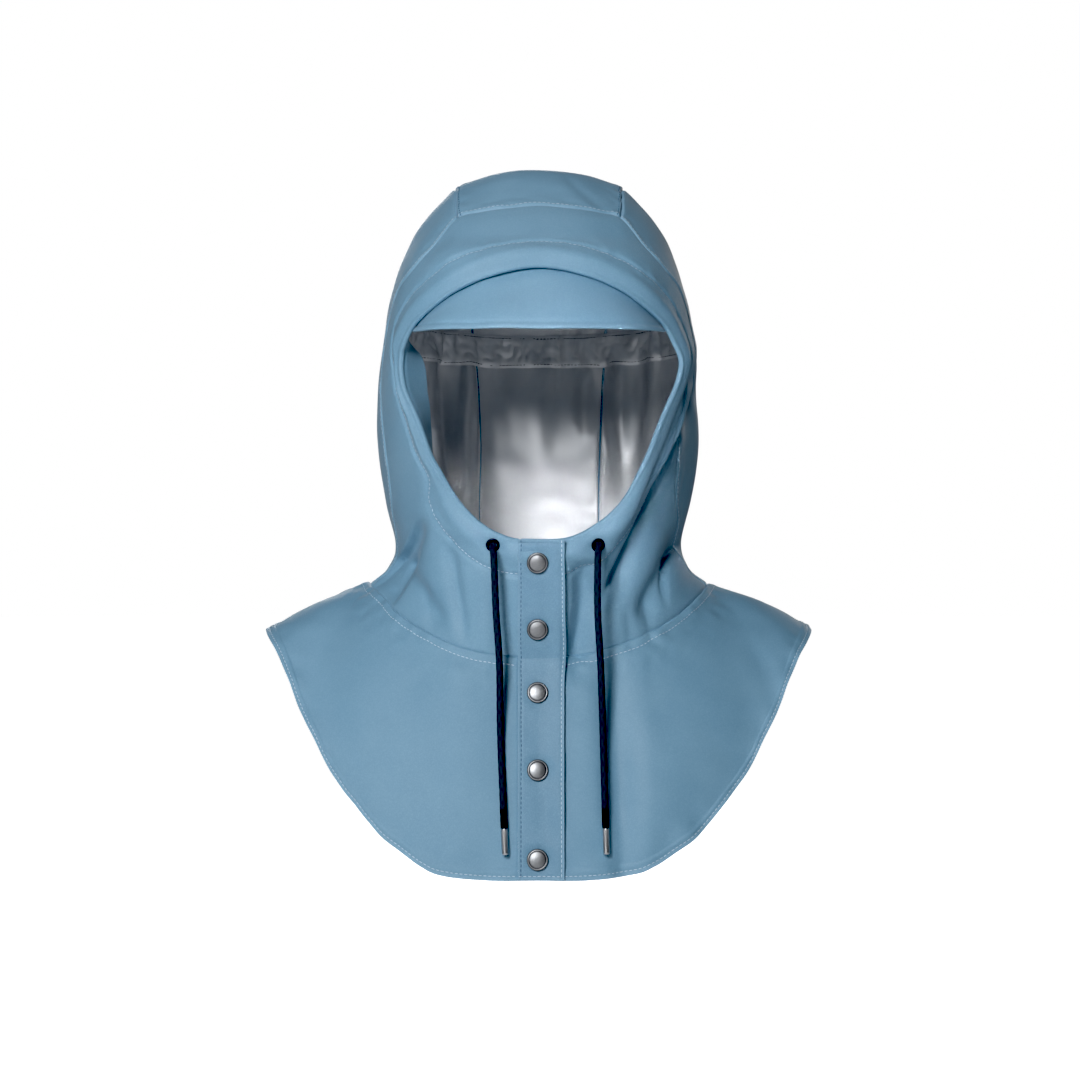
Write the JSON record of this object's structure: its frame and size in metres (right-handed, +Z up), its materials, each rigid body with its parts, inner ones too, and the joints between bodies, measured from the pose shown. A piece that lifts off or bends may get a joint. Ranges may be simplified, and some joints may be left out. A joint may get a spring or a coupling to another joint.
{
  "type": "detachable hood",
  "caption": "Rain hood in coated cloth with a soft peak, a shoulder cape, a snapped front placket and drawcords.",
  "frame": {"origin": "top centre of the crown, where the wearer's head holds the hood up", "axes": "+Z up, the face towards -Y, +X to the wearer's left"},
  "size_m": [0.4058, 0.2892, 0.5091],
  "materials": {
    "coated_cloth": "matt coated",
    "lining_cloth": "silver coated",
    "nickel": "brushed",
    "dark_metal": "satin",
    "navy_cord": "braided",
    "steel": "polished"
  },
  "bodies": {
    "root": {"crown_panel": "coated_cloth", "side_panel_left": "coated_cloth", "side_panel_right": "coated_cloth", "front_band": "coated_cloth", "face_casing": "coated_cloth", "peak": "coated_cloth", "back_casing": "lining_cloth", "cape": "coated_cloth", "placket": "coated_cloth", "snap_cap_1": "nickel", "snap_cap_2": "nickel", "snap_cap_3": "nickel", "snap_cap_4": "nickel", "snap_cap_5": "nickel", "eyelet_left": "dark_metal", "drawcord_left": "navy_cord", "aglet_left": "steel", "eyelet_right": "dark_metal", "drawcord_right": "navy_cord", "aglet_right": "steel"}
  },
  "joints": []
}
